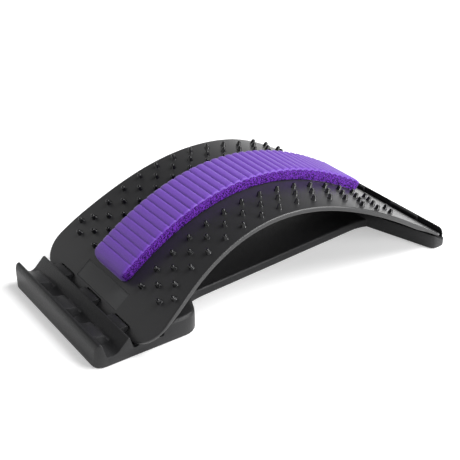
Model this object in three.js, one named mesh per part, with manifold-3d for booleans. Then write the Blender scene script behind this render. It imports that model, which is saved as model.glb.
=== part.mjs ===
// An arched back stretcher: a springy knobbed plate bent over a moulded base with three height levels.
// Lengths are in millimetres, +Z is up, X runs along the arch and Y across it.
// The origin is at the middle of the footprint, on the floor.

import * as THREE from 'three';
import { mergeVertices } from 'three/addons/utils/BufferGeometryUtils.js';
import Module from 'manifold-3d';

const wasm = await Module();
wasm.setup();

// Clearances that every piece shares
const SEAT_GAP = 0.3;
const CUT_OVERRUN = 3;

// The arch: how high its crown and its two tips stand, how far it reaches from its crown to each tip,
// and the share of that reach over which it bends
const CROWN_HEIGHT = 90;
const LEFT_TIP_HEIGHT = 11.85;
const RIGHT_TIP_HEIGHT = 10.25;
const LEFT_REACH = 186.5;
const RIGHT_REACH = 208.6;
const LEFT_BEND_SHARE = 1;
const RIGHT_BEND_SHARE = 0.79;

// The arch plate
const PLATE_THICKNESS = 3;
const PLATE_RIM_DEPTH = 4.6;
const PLATE_RIM_WIDTH = 3;
const PLATE_RIM_BLEND = 3;
const WAIST_HALF_WIDTH = 84;
const END_HALF_WIDTH = 100;
const WAIST_X = -35;
const FLARE_REACH = 120;
const LEFT_CORNER_RADIUS = 25;
const RIGHT_CORNER_RADIUS = 14;
const LEFT_NOTCH_DEPTH = 9;
const RIGHT_NOTCH_DEPTH = 5.2;
const PANEL_HALF_WIDTH = 34;
const PANEL_DEPTH = 0.6;
const PANEL_LENGTH = 20.5;
const PANEL_EDGE_MARGIN = 2.5;

// The massage knobs moulded on the plate, in staggered lines along both sides of the foam
const KNOB_LEFT_MARGIN = 42;
const KNOB_RIGHT_MARGIN = 73.1;
const KNOB_FOAM_MARGIN = 16.5;
const KNOB_EDGE_MARGIN = 11;
const KNOBS_EACH_WAY = 7;
const RIGHT_OUTER_KNOBS = 3;
const KNOB_BASE_RADIUS = 2.9;
const KNOB_SHOULDER_RADIUS = 2.4;
const KNOB_TIP_RADIUS = 1;
const KNOB_HEIGHT = 5.4;
const KNOB_SHOULDER_HEIGHT = 1.3;
const KNOB_TIP_HEIGHT = 4.8;
const KNOB_ROOT = 1.5;

// The foam strip glued along the middle of the plate, with its film of adhesive
const FOAM_LEFT_MARGIN = 34;
const FOAM_RIGHT_MARGIN = 65.1;
const FOAM_HALF_WIDTH = 26.5;
const FOAM_HEIGHT = 11.6;
const FOAM_RIBS = 38;
const FOAM_RIB_DEPTH = 1.1;
const FOAM_END_ROUND = 9;
const FOAM_SIDE_DRAW = 0.8;
const FOAM_SHOULDER = 2.6;
const FOAM_SHOULDER_DROP = 1.5;
const FOAM_CORNER_RADIUS = 6;
const FILM_THICKNESS = 0.4;
const FILM_MARGIN = 1.2;

// The base moulding
const PAD_PROUD = 0.8;
const LEFT_LIP_WIDTH = 7.7;
const RIGHT_LIP_WIDTH = 1.8;
const RIGHT_SHELF_LIP_WIDTH = 4.2;
const LEFT_BAR_HALF_WIDTH = 82;
const RIGHT_BAR_HALF_WIDTH = 101;
const LEFT_BAR_SIDE_LENGTH = 98;
const LEFT_BAR_ROOT_LENGTH = 118;
const RIGHT_BAR_SIDE_LENGTH = 19;
const RIGHT_BAR_ROOT_LENGTH = 43;
const SPINE_LEFT_HALF_WIDTH = 39;
const SPINE_RIGHT_HALF_WIDTH = 24;
const SPINE_HEIGHT = 9.8;
const BAR_TOP_HEIGHT = 20.5;
const LIP_HEIGHT = 24;
const RIGHT_LIP_HEIGHT = 16;
const RIGHT_TOP_HEIGHT = 16;
const CREST_HEIGHT = 21;
const LEVEL_PITCH = 25.5;
const STEEP_LEAN = 3;
const OUTER_FLOOR_WIDTH = 9.3;
const GROOVE_FLOOR_WIDTH = 4;
const CREST_FLAT = 1.5;
const LAST_GROOVE_LEAN = 3.5;
const SHELF_HEIGHT = 14.9;
const LIP_SHELF_HEIGHT = 19.6;
const LIP_SHELF_DEPTH = 6.6;
const LEFT_SHELF_WIDTH = 25;
const LEFT_POCKET_WIDTH = 26.5;
const RIGHT_SHELF_WIDTH = 40;
const RIGHT_POCKET_WIDTH = 41.6;
const OUTER_CORNER_RADIUS = 10;
const INNER_CORNER_RADIUS = 12;
const ROOT_RADIUS = 9;
const END_CORNER_RADIUS = 5;
const BASE_EDGE_ROUND = 2.4;
const OUTER_DRAFT = 1;
const THIN_LIP_DRAFT = 0.4;

// The underside of the base: an open shell stiffened by ribs
const SHELL_WALL = 2.6;
const RIB_THICKNESS = 2;
const RIB_PITCH = 33;
const CELL_FLOOR_SKIN = 2.6;

// The foot pads let into the underside
const PAD_LENGTH = 22;
const PAD_WIDTH = 9;
const PAD_RECESS = 1.2;
const PAD_CORNER_RADIUS = 3;
const PAD_RIM = 2.2;

const CURVE_STEPS = 5;
const ARCH_ROW_STEP = 8;
const ARCH_SUM_STEPS = 480;
const SOLVE_STEPS = 40;
const KNOB_SIDES = 8;
const MERGE_TOLERANCE = 1e-5;

const MATERIALS = {
  base: new THREE.MeshStandardMaterial({ color: 0x17171a, roughness: 0.62, metalness: 0 }),
  plate: new THREE.MeshStandardMaterial({ color: 0x1c1c20, roughness: 0.55, metalness: 0 }),
  foam: new THREE.MeshStandardMaterial({ color: 0x6a32b8, roughness: 0.85, metalness: 0 }),
  film: new THREE.MeshStandardMaterial({ color: 0xd9d6cc, roughness: 0.6, metalness: 0 }),
  pad: new THREE.MeshStandardMaterial({ color: 0x0d0d0e, roughness: 0.95, metalness: 0 }),
};

// A strip held only at its two ends bends most in the middle and runs straighter at its ends: its slope,
// in radians, at a distance from the crown grows as a quarter of a sine wave, up to the slope of its end.
function slopeFrom(distance, bendReach, endSlope) {
  return endSlope * Math.sin((Math.min(1, distance / bendReach) * Math.PI) / 2);
}

// How far out and how far down from the crown such a strip gets, by summing short steps.
function strideFrom(distance, bendReach, endSlope) {
  const step = distance / ARCH_SUM_STEPS;
  const stride = { out: 0, down: 0 };
  for (let i = 0; i < ARCH_SUM_STEPS; i += 1) {
    const slope = slopeFrom((i + 1 / 2) * step, bendReach, endSlope);
    stride.out += Math.cos(slope) * step;
    stride.down += Math.sin(slope) * step;
  }
  return stride;
}

// The slope of the end that brings the tip down to its height, found by halving its range.
function solvedEndSlope(reach, bendReach, tipHeight) {
  let low = 0;
  let high = Math.PI / 2;
  for (let i = 0; i < SOLVE_STEPS; i += 1) {
    const middle = (low + high) / 2;
    const drop = strideFrom(reach, bendReach, middle).down;
    if (drop < CROWN_HEIGHT - tipHeight) low = middle;
    else high = middle;
  }
  return (low + high) / 2;
}

const LEFT_BEND_REACH = LEFT_REACH * LEFT_BEND_SHARE;
const RIGHT_BEND_REACH = RIGHT_REACH * RIGHT_BEND_SHARE;
const LEFT_END_SLOPE = solvedEndSlope(LEFT_REACH, LEFT_BEND_REACH, LEFT_TIP_HEIGHT);
const RIGHT_END_SLOPE = solvedEndSlope(RIGHT_REACH, RIGHT_BEND_REACH, RIGHT_TIP_HEIGHT);

// The grooves of the base go around the plate's tips, so the tips place the base's two ends.
// These places along X are measured from the crown, and the crown is then set off the middle between them.
const LEFT_FLOOR = LEFT_TIP_HEIGHT - PLATE_THICKNESS * Math.cos(LEFT_END_SLOPE) - SEAT_GAP;
const RIGHT_FLOOR = RIGHT_TIP_HEIGHT - PLATE_THICKNESS * Math.cos(RIGHT_END_SLOPE) - SEAT_GAP;
const FLOOR_RISE_SHARE = (LEFT_TIP_HEIGHT - LEFT_FLOOR) / (CREST_HEIGHT - LEFT_FLOOR);
const LEFT_OUT = strideFrom(LEFT_REACH, LEFT_BEND_REACH, LEFT_END_SLOPE).out;
const RIGHT_OUT = strideFrom(RIGHT_REACH, RIGHT_BEND_REACH, RIGHT_END_SLOPE).out;
const FOOT_OUT = LEFT_OUT + SEAT_GAP - STEEP_LEAN * FLOOR_RISE_SHARE;
const LEFT_END_OUT = FOOT_OUT + LEVEL_PITCH + STEEP_LEAN + LEFT_LIP_WIDTH;
const RIGHT_END_OUT = RIGHT_OUT + SEAT_GAP + RIGHT_LIP_WIDTH;
const HALF_LENGTH = (LEFT_END_OUT + RIGHT_END_OUT) / 2;
const CROWN_X = (LEFT_END_OUT - RIGHT_END_OUT) / 2;

// Slope of the arch at a distance along it from the crown: positive where it falls to the right.
function slopeAt(along) {
  if (along < 0) return -slopeFrom(-along, LEFT_BEND_REACH, LEFT_END_SLOPE);
  return slopeFrom(along, RIGHT_BEND_REACH, RIGHT_END_SLOPE);
}

// Place of the plate's top face at a distance along the arch from its crown.
// Stations that were worked out before are remembered.
const knownPoints = new Map();

function archPoint(along) {
  if (knownPoints.has(along)) return knownPoints.get(along);
  const left = along < 0;
  const endSlope = left ? LEFT_END_SLOPE : RIGHT_END_SLOPE;
  const stride = strideFrom(Math.abs(along), left ? LEFT_BEND_REACH : RIGHT_BEND_REACH, endSlope);
  const x = CROWN_X + (left ? -stride.out : stride.out);
  const point = { x, z: CROWN_HEIGHT - stride.down, slope: slopeAt(along) };
  knownPoints.set(along, point);
  return point;
}

// A point given flat, as distance along the arch, across it and over the plate's top face, put on the arch.
function onArch(along, across, over) {
  const point = archPoint(along);
  const x = point.x + Math.sin(point.slope) * over;
  const z = point.z + Math.cos(point.slope) * over;
  return new THREE.Vector3(x, across, z);
}

// Bends a geometry that was modelled flat onto the arch.
function bend(geometry) {
  const place = geometry.attributes.position;
  for (let i = 0; i < place.count; i += 1) {
    const point = onArch(place.getX(i), place.getY(i), place.getZ(i));
    place.setXYZ(i, point.x, point.y, point.z);
  }
  geometry.computeVertexNormals();
  return geometry;
}

// Turns a closed geometry into a solid that can be joined or cut.
function solidOf(geometry) {
  const bare = geometry.clone();
  bare.deleteAttribute('normal');
  bare.deleteAttribute('uv');
  const merged = mergeVertices(bare, MERGE_TOLERANCE);
  const vertProperties = new Float32Array(merged.attributes.position.array);
  const triVerts = new Uint32Array(merged.index.array);
  return new wasm.Manifold(new wasm.Mesh({ numProp: 3, vertProperties, triVerts }));
}

// Turns a solid back into a geometry.
function geometryOf(solid) {
  const mesh = solid.getMesh();
  const geometry = new THREE.BufferGeometry();
  geometry.setAttribute('position', new THREE.BufferAttribute(new Float32Array(mesh.vertProperties), 3));
  geometry.setIndex(new THREE.BufferAttribute(new Uint32Array(mesh.triVerts), 1));
  geometry.computeVertexNormals();
  return geometry;
}

// A block between two corners.
function block(low, high) {
  const size = [high[0] - low[0], high[1] - low[1], high[2] - low[2]];
  const geometry = new THREE.BoxGeometry(size[0], size[1], size[2]);
  geometry.translate((low[0] + high[0]) / 2, (low[1] + high[1]) / 2, (low[2] + high[2]) / 2);
  return geometry;
}

// A closed solid through a row of sections, each with as many points on its top as on its bottom.
function sweptSolid(sections) {
  const across = sections[0].top.length;
  const ring = across * 2;
  const positions = [];
  const faces = [];
  sections.forEach((section) => {
    section.top.forEach((point) => positions.push(point.x, point.y, point.z));
    section.bottom.forEach((point) => positions.push(point.x, point.y, point.z));
  });
  const quad = (a, b, c, d) => faces.push(a, b, c, a, c, d);
  for (let i = 0; i < sections.length - 1; i += 1) {
    const here = i * ring;
    const next = here + ring;
    for (let j = 0; j < across - 1; j += 1) {
      quad(here + j, next + j, next + j + 1, here + j + 1);
      quad(here + across + j, here + across + j + 1, next + across + j + 1, next + across + j);
    }
    quad(here, here + across, next + across, next);
    quad(here + across - 1, next + across - 1, next + ring - 1, here + ring - 1);
  }
  const last = (sections.length - 1) * ring;
  for (let j = 0; j < across - 1; j += 1) {
    quad(j, j + 1, across + j + 1, across + j);
    quad(last + j, last + across + j, last + across + j + 1, last + j + 1);
  }
  const geometry = new THREE.BufferGeometry();
  geometry.setAttribute('position', new THREE.BufferAttribute(new Float32Array(positions), 3));
  geometry.setIndex(faces);
  geometry.computeVertexNormals();
  return geometry;
}

// A closed outline with each of its corners rounded by its own radius.
function roundedShape(points, radii) {
  const shape = new THREE.Shape();
  points.forEach((point, i) => {
    const before = points[(i + points.length - 1) % points.length];
    const after = points[(i + 1) % points.length];
    const toBefore = new THREE.Vector2().subVectors(before, point);
    const toAfter = new THREE.Vector2().subVectors(after, point);
    const reach = Math.min(radii[i], toBefore.length() / 2, toAfter.length() / 2);
    const start = point.clone().addScaledVector(toBefore.normalize(), reach);
    const end = point.clone().addScaledVector(toAfter.normalize(), reach);
    if (i === 0) shape.moveTo(start.x, start.y);
    else shape.lineTo(start.x, start.y);
    if (reach > 0) shape.quadraticCurveTo(point.x, point.y, end.x, end.y);
  });
  shape.closePath();
  return shape;
}

// Half the plate's width at a distance along the arch: a waist that flares out to both ends.
const FLARE_TURN_SHARE = 0.75;
const FLARE_TURN_HEIGHT_SHARE = FLARE_TURN_SHARE * FLARE_TURN_SHARE;
const FLARE_EASE_SHARE = (1 - FLARE_TURN_HEIGHT_SHARE) / FLARE_TURN_SHARE;

function flaredHalfWidth(along) {
  const share = Math.abs(along - WAIST_X) / FLARE_REACH;
  let grown = share * share;
  if (share > FLARE_TURN_SHARE) {
    const past = Math.min(share - FLARE_TURN_SHARE, FLARE_EASE_SHARE);
    const slowing = (past * past) / FLARE_EASE_SHARE;
    grown = FLARE_TURN_HEIGHT_SHARE + FLARE_TURN_SHARE * (past * 2 - slowing);
  }
  return WAIST_HALF_WIDTH + (END_HALF_WIDTH - WAIST_HALF_WIDTH) * grown;
}

// The same with the plate's rounded corners.
function plateHalfWidth(along) {
  const left = along < 0;
  const radius = left ? LEFT_CORNER_RADIUS : RIGHT_CORNER_RADIUS;
  const toEnd = left ? LEFT_REACH + along : RIGHT_REACH - along;
  const width = flaredHalfWidth(along);
  if (toEnd >= radius) return width;
  const inset = radius - toEnd;
  return width - radius + Math.sqrt(Math.max(0, radius * radius - inset * inset));
}

// Stations along the plate: closer together where its corners turn.
function plateStations() {
  const stations = [];
  for (let i = 0; i < CURVE_STEPS; i += 1) {
    const turn = (i / CURVE_STEPS) * (Math.PI / 2);
    stations.push(-LEFT_REACH + LEFT_CORNER_RADIUS * (1 - Math.cos(turn)));
  }
  const from = -LEFT_REACH + LEFT_CORNER_RADIUS;
  const to = RIGHT_REACH - RIGHT_CORNER_RADIUS;
  const count = Math.round((to - from) / ARCH_ROW_STEP);
  for (let i = 0; i <= count; i += 1) stations.push(from + ((to - from) * i) / count);
  for (let i = CURVE_STEPS - 1; i >= 0; i -= 1) {
    const turn = (i / CURVE_STEPS) * (Math.PI / 2);
    stations.push(RIGHT_REACH - RIGHT_CORNER_RADIUS * (1 - Math.cos(turn)));
  }
  return stations;
}

// The bare plate: one thickness in the field and a deeper rim turned down along both long edges,
// which runs out before the ends so that these fit their grooves.
const RIM_RUNOUT = 24;

function plateBlank() {
  const sections = plateStations().map((along) => {
    const half = plateHalfWidth(along);
    const toEnd = Math.min(LEFT_REACH + along, RIGHT_REACH - along);
    const rimShare = THREE.MathUtils.smoothstep(toEnd, RIM_RUNOUT, RIM_RUNOUT * 2);
    const rim = PLATE_THICKNESS + (PLATE_RIM_DEPTH - PLATE_THICKNESS) * rimShare;
    const inner = half - PLATE_RIM_WIDTH;
    const field = inner - PLATE_RIM_BLEND;
    const across = [-half, -inner, -field, field, inner, half];
    const depths = [rim, rim, PLATE_THICKNESS, PLATE_THICKNESS, rim, rim];
    const top = across.map((y) => onArch(along, y, 0));
    const bottom = across.map((y, j) => onArch(along, y, -depths[j]));
    return { top, bottom };
  });
  return solidOf(sweptSolid(sections));
}

// One knob, standing on the plate at its station.
function knob(along, across) {
  const profile = [
    new THREE.Vector2(0, -KNOB_ROOT),
    new THREE.Vector2(KNOB_BASE_RADIUS, -KNOB_ROOT),
    new THREE.Vector2(KNOB_BASE_RADIUS, 0),
    new THREE.Vector2(KNOB_SHOULDER_RADIUS, KNOB_SHOULDER_HEIGHT),
    new THREE.Vector2(KNOB_TIP_RADIUS, KNOB_TIP_HEIGHT),
    new THREE.Vector2(0, KNOB_HEIGHT),
  ];
  const geometry = new THREE.LatheGeometry(profile, KNOB_SIDES);
  geometry.rotateX(Math.PI / 2);
  geometry.rotateY(slopeAt(along));
  const seat = onArch(along, across, 0);
  geometry.translate(seat.x, seat.y, seat.z);
  return solidOf(geometry);
}

// Every knob's station: two full lines with a third staggered between them, and a few knobs more
// near the edge where the plate flares. Stations count from the middle of the pattern.
const KNOB_START = -LEFT_REACH + KNOB_LEFT_MARGIN;
const KNOB_PITCH = (RIGHT_REACH - KNOB_RIGHT_MARGIN - KNOB_START) / (KNOBS_EACH_WAY * 2);
const INNER_KNOB_LINE = FOAM_HALF_WIDTH + KNOB_FOAM_MARGIN;
const OUTER_KNOB_LINE = WAIST_HALF_WIDTH - KNOB_EDGE_MARGIN;

function knobStations() {
  const stations = [];
  const place = (count) => KNOB_START + (count + KNOBS_EACH_WAY) * KNOB_PITCH;
  const add = (count, line) => stations.push([place(count), line]);
  const addAtEdge = (count) => add(count, flaredHalfWidth(place(count)) - KNOB_EDGE_MARGIN);
  for (let i = -KNOBS_EACH_WAY; i <= KNOBS_EACH_WAY; i += 1) {
    add(i, INNER_KNOB_LINE);
    add(i, OUTER_KNOB_LINE);
  }
  for (let i = -KNOBS_EACH_WAY; i < KNOBS_EACH_WAY; i += 1) {
    add(i + 1 / 2, (INNER_KNOB_LINE + OUTER_KNOB_LINE) / 2);
  }
  addAtEdge(-KNOBS_EACH_WAY + 1 / 2);
  for (let i = 1; i <= RIGHT_OUTER_KNOBS; i += 1) addAtEdge(KNOBS_EACH_WAY + 1 / 2 - i);
  return stations.flatMap(([along, line]) => [[along, -line], [along, line]]);
}

// The stretches across each end of the base, as [from, to] pairs: shelves, with pockets between them.
// The shelves of the outer groove are tall blocks on the lip; the others fill their groove up to a flat top
// that runs out on its ramp.
function shelfStretches(places, shelfWidth, pocketWidth, outerWidth) {
  const pitch = shelfWidth + pocketWidth;
  return places.map((place) => {
    const middle = place * pitch;
    const low = Math.max(middle - shelfWidth / 2, -outerWidth);
    const high = Math.min(middle + shelfWidth / 2, outerWidth);
    return [low, high];
  });
}

const LEFT_SHELVES = shelfStretches([-1, 0, 1], LEFT_SHELF_WIDTH, LEFT_POCKET_WIDTH, LEFT_BAR_HALF_WIDTH);
const RIGHT_SHELVES = shelfStretches([-1 / 2, 1 / 2], RIGHT_SHELF_WIDTH, RIGHT_POCKET_WIDTH, END_HALF_WIDTH);

// The finished plate: notched ends that key over the shelves, a bare label recess and the knobs.
function makePlate() {
  let plate = plateBlank();
  const cut = (low, high) => {
    plate = plate.subtract(solidOf(bend(block(low, high))));
  };
  const below = -PLATE_RIM_DEPTH - CUT_OVERRUN;
  LEFT_SHELVES.forEach(([from, to]) => {
    const low = [-LEFT_REACH - CUT_OVERRUN, from - SEAT_GAP, below];
    cut(low, [-LEFT_REACH + LEFT_NOTCH_DEPTH, to + SEAT_GAP, CUT_OVERRUN]);
  });
  RIGHT_SHELVES.forEach(([from, to]) => {
    const low = [RIGHT_REACH - RIGHT_NOTCH_DEPTH, from - SEAT_GAP, below];
    cut(low, [RIGHT_REACH + CUT_OVERRUN, to + SEAT_GAP, CUT_OVERRUN]);
  });
  const panelStart = -LEFT_REACH + LEFT_NOTCH_DEPTH + PANEL_EDGE_MARGIN;
  const panelLow = [panelStart, -PANEL_HALF_WIDTH, -PANEL_DEPTH];
  cut(panelLow, [panelStart + PANEL_LENGTH, PANEL_HALF_WIDTH, CUT_OVERRUN]);
  const knobs = knobStations().map(([along, across]) => knob(along, across));
  return geometryOf(wasm.Manifold.union([plate, ...knobs]));
}

// How far in from the foam's flat end its outline and its top have to draw back at a station.
function endRound(toEnd, radius) {
  if (toEnd >= radius) return 0;
  const inset = radius - toEnd;
  return radius - Math.sqrt(Math.max(0, radius * radius - inset * inset));
}

// The foam: a strip with rounded cross ribs on its crowned top, drawn-in sides and sloped ends.
const FOAM_START = -LEFT_REACH + FOAM_LEFT_MARGIN;
const FOAM_END = RIGHT_REACH - FOAM_RIGHT_MARGIN;
const FOAM_SEAT = SEAT_GAP * 2 + FILM_THICKNESS;
const FOAM_RIB_SAMPLES = 3;
const FOAM_MIDDLE_DRAW_SHARE = 0.5;

function makeFoam() {
  const rows = FOAM_RIBS * FOAM_RIB_SAMPLES;
  const sections = [];
  for (let i = 0; i <= rows; i += 1) {
    const along = FOAM_START + ((FOAM_END - FOAM_START) * i) / rows;
    const toEnd = Math.min(along - FOAM_START, FOAM_END - along);
    const half = FOAM_HALF_WIDTH - endRound(toEnd, FOAM_CORNER_RADIUS);
    const groove = i % FOAM_RIB_SAMPLES === 0 ? FOAM_RIB_DEPTH : 0;
    const drop = endRound(toEnd, FOAM_END_ROUND);
    const crown = FOAM_SEAT + FOAM_HEIGHT - groove - drop;
    const shoulder = crown - FOAM_SHOULDER_DROP + groove * FOAM_MIDDLE_DRAW_SHARE;
    const across = [-half, FOAM_SHOULDER - half, 0, half - FOAM_SHOULDER, half];
    const heights = [shoulder, crown, crown, crown, shoulder];
    const foot = half - FOAM_SIDE_DRAW;
    const feet = [-foot, FOAM_SHOULDER - foot, 0, foot - FOAM_SHOULDER, foot];
    const top = across.map((y, j) => onArch(along, y, heights[j]));
    const bottom = feet.map((y) => onArch(along, y, FOAM_SEAT));
    sections.push({ top, bottom });
  }
  return sweptSolid(sections);
}

// The film of adhesive between the foam and the plate.
function makeFilm() {
  const half = FOAM_HALF_WIDTH - FOAM_SIDE_DRAW - FILM_MARGIN;
  const from = FOAM_START + FOAM_CORNER_RADIUS;
  const to = FOAM_END - FOAM_CORNER_RADIUS;
  const rows = Math.round((to - from) / ARCH_ROW_STEP);
  const sections = [];
  for (let i = 0; i <= rows; i += 1) {
    const along = from + ((to - from) * i) / rows;
    const top = [-half, half].map((y) => onArch(along, y, SEAT_GAP + FILM_THICKNESS));
    const bottom = [-half, half].map((y) => onArch(along, y, SEAT_GAP));
    sections.push({ top, bottom });
  }
  return sweptSolid(sections);
}

// Feet of the grooves' steep faces.
const RIGHT_FOOT = CROWN_X + RIGHT_OUT + SEAT_GAP;
const levelFoot = (level) => CROWN_X - FOOT_OUT + level * LEVEL_PITCH;
const levelFloorWidth = (level) => (level === -1 ? OUTER_FLOOR_WIDTH : GROOVE_FLOOR_WIDTH);

// Section of the left bar through its pockets, from the outer lip over the three grooves to the flat top.
function leftBarSection() {
  const outer = -HALF_LENGTH;
  const points = [[outer, PAD_PROUD], [outer + OUTER_DRAFT, LIP_HEIGHT - BASE_EDGE_ROUND]];
  points.push([outer + BASE_EDGE_ROUND, LIP_HEIGHT]);
  points.push([levelFoot(-1) - STEEP_LEAN - OUTER_DRAFT, LIP_HEIGHT]);
  [-1, 0, 1].forEach((level) => {
    const foot = levelFoot(level);
    points.push([foot - STEEP_LEAN, CREST_HEIGHT], [foot, LEFT_FLOOR]);
    points.push([foot + levelFloorWidth(level), LEFT_FLOOR]);
    if (level < 1) points.push([levelFoot(level + 1) - STEEP_LEAN - CREST_FLAT, CREST_HEIGHT]);
  });
  const flatStart = levelFoot(1) + levelFloorWidth(1) + LAST_GROOVE_LEAN;
  const inner = outer + LEFT_BAR_ROOT_LENGTH;
  points.push([flatStart, BAR_TOP_HEIGHT], [inner - BASE_EDGE_ROUND, BAR_TOP_HEIGHT]);
  points.push([inner, BAR_TOP_HEIGHT - BASE_EDGE_ROUND], [inner, PAD_PROUD]);
  return points;
}

// Section of the right bar through its pockets: a flat top, a ramp down to the one slot and a thin lip.
function rightBarSection() {
  const outer = HALF_LENGTH;
  const inner = outer - RIGHT_BAR_ROOT_LENGTH;
  const rampTop = outer - RIGHT_BAR_SIDE_LENGTH;
  return [
    [inner, PAD_PROUD],
    [inner, RIGHT_TOP_HEIGHT - BASE_EDGE_ROUND],
    [inner + BASE_EDGE_ROUND, RIGHT_TOP_HEIGHT],
    [rampTop, RIGHT_TOP_HEIGHT],
    [RIGHT_FOOT - GROOVE_FLOOR_WIDTH, RIGHT_FLOOR],
    [RIGHT_FOOT, RIGHT_FLOOR],
    [RIGHT_FOOT + THIN_LIP_DRAFT, RIGHT_LIP_HEIGHT],
    [outer - THIN_LIP_DRAFT, RIGHT_LIP_HEIGHT],
    [outer, RIGHT_LIP_HEIGHT - THIN_LIP_DRAFT],
    [outer, PAD_PROUD],
  ];
}

// Section of the thicker lip at the right bar's shelves.
function rightShelfSection() {
  const inner = HALF_LENGTH - RIGHT_SHELF_LIP_WIDTH;
  const outer = HALF_LENGTH - THIN_LIP_DRAFT;
  return [
    [inner, PAD_PROUD],
    [inner, RIGHT_LIP_HEIGHT - OUTER_DRAFT],
    [inner + OUTER_DRAFT, RIGHT_LIP_HEIGHT],
    [outer, RIGHT_LIP_HEIGHT],
    [outer, PAD_PROUD],
  ];
}

// A section in X and Z, extruded across the part.
function acrossSolid(points, from, to) {
  const shape = new THREE.Shape(points.map(([x, z]) => new THREE.Vector2(x, z)));
  const geometry = new THREE.ExtrudeGeometry(shape, { depth: to - from, bevelEnabled: false });
  geometry.rotateX(Math.PI / 2);
  geometry.translate(0, to, 0);
  return solidOf(geometry);
}

// An outline in X and Y, extruded upwards, with its top edge rounded if asked.
function uprightSolid(shape, from, to, round = 0) {
  const settings = { depth: to - from, bevelEnabled: false, curveSegments: CURVE_STEPS };
  if (round > 0) {
    settings.depth = to - from - round * 2;
    settings.bevelEnabled = true;
    settings.bevelThickness = round;
    settings.bevelSize = round;
    settings.bevelOffset = -round;
    settings.bevelSegments = 2;
  }
  const geometry = new THREE.ExtrudeGeometry(shape, settings);
  geometry.translate(0, 0, from + round);
  return solidOf(geometry);
}

// Outlines of the two bars and the spine in plan, drawn in from the outside by an inset.
function mirrored(points, radii) {
  const all = points.map(([x, y]) => new THREE.Vector2(x, y));
  const back = points.map(([x, y]) => new THREE.Vector2(x, -y)).reverse();
  return roundedShape([...back, ...all], [...[...radii].reverse(), ...radii]);
}

function leftBarPlan(inset) {
  const outer = -HALF_LENGTH + inset;
  const side = LEFT_BAR_HALF_WIDTH - inset;
  const points = [
    [-HALF_LENGTH + LEFT_BAR_ROOT_LENGTH - inset, SPINE_LEFT_HALF_WIDTH],
    [-HALF_LENGTH + LEFT_BAR_SIDE_LENGTH - inset, side],
    [outer, side],
  ];
  const keep = [0, INNER_CORNER_RADIUS - inset, OUTER_CORNER_RADIUS - inset];
  return mirrored(points.reverse(), keep.reverse());
}

function rightBarPlan(inset) {
  const outer = HALF_LENGTH - inset;
  const side = RIGHT_BAR_HALF_WIDTH - inset;
  const points = [
    [HALF_LENGTH - RIGHT_BAR_ROOT_LENGTH + inset, SPINE_RIGHT_HALF_WIDTH],
    [HALF_LENGTH - RIGHT_BAR_SIDE_LENGTH + inset, side],
    [outer, side],
  ];
  const keep = [0, END_CORNER_RADIUS, END_CORNER_RADIUS + BASE_EDGE_ROUND];
  return mirrored(points, keep);
}

function spinePlan(inset) {
  const left = -HALF_LENGTH + LEFT_BAR_ROOT_LENGTH;
  const right = HALF_LENGTH - RIGHT_BAR_ROOT_LENGTH;
  const points = [
    [right + ROOT_RADIUS * 2, SPINE_RIGHT_HALF_WIDTH + ROOT_RADIUS - inset],
    [right - ROOT_RADIUS, SPINE_RIGHT_HALF_WIDTH - inset],
    [left + ROOT_RADIUS, SPINE_LEFT_HALF_WIDTH - inset],
    [left - ROOT_RADIUS * 2, SPINE_LEFT_HALF_WIDTH + ROOT_RADIUS - inset],
  ];
  const keep = [0, ROOT_RADIUS, ROOT_RADIUS, 0];
  return mirrored(points.reverse(), keep.reverse());
}

// The open cells between the ribs of the underside, under one stretch of the base.
function cells(fromX, toX, halfWidth, ceiling, plan) {
  const rowCount = Math.max(1, Math.ceil((toX - fromX) / RIB_PITCH));
  const rowPitch = (toX - fromX + RIB_THICKNESS) / rowCount;
  const lineCount = Math.max(1, Math.ceil((halfWidth * 2) / RIB_PITCH));
  const linePitch = (halfWidth * 2 + RIB_THICKNESS) / lineCount;
  let all = null;
  for (let i = 0; i < rowCount; i += 1) {
    for (let j = 0; j < lineCount; j += 1) {
      const low = [fromX + i * rowPitch, -halfWidth + j * linePitch, -CUT_OVERRUN];
      const high = [low[0] + rowPitch - RIB_THICKNESS, low[1] + linePitch - RIB_THICKNESS, ceiling];
      const cell = solidOf(block(low, high));
      all = all ? all.add(cell) : cell;
    }
  }
  return all.intersect(uprightSolid(plan, -CUT_OVERRUN * 2, ceiling + CUT_OVERRUN));
}

// Middles of the foot pads: two under the left bar's sides, two under the right bar and two under the spine.
const PAD_BOSS_TOP = Math.min(LEFT_FLOOR, RIGHT_FLOOR) - SEAT_GAP;
const PAD_INSET = SHELL_WALL + PAD_RIM + PAD_WIDTH / 2;
const PAD_PLACES = [-1, 1].flatMap((side) => [
  [-HALF_LENGTH + LEFT_BAR_SIDE_LENGTH / 2, side * (LEFT_BAR_HALF_WIDTH - PAD_INSET)],
  [-HALF_LENGTH + LEFT_BAR_SIDE_LENGTH / 2, side * PAD_INSET],
  [HALF_LENGTH - RIGHT_BAR_SIDE_LENGTH / 2 - PAD_RIM, side * (RIGHT_BAR_HALF_WIDTH - PAD_INSET * 2)],
]);

// A pad's outline around its middle, grown by a margin: long along X under the left bar, along Y under the right.
function padShape(place, margin) {
  const turned = place[0] > 0;
  const halfX = (turned ? PAD_WIDTH : PAD_LENGTH) / 2 + margin;
  const halfY = (turned ? PAD_LENGTH : PAD_WIDTH) / 2 + margin;
  const corners = [[-1, -1], [1, -1], [1, 1], [-1, 1]];
  const points = corners.map(([a, b]) => new THREE.Vector2(place[0] + a * halfX, place[1] + b * halfY));
  return roundedShape(points, corners.map(() => PAD_CORNER_RADIUS));
}

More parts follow.
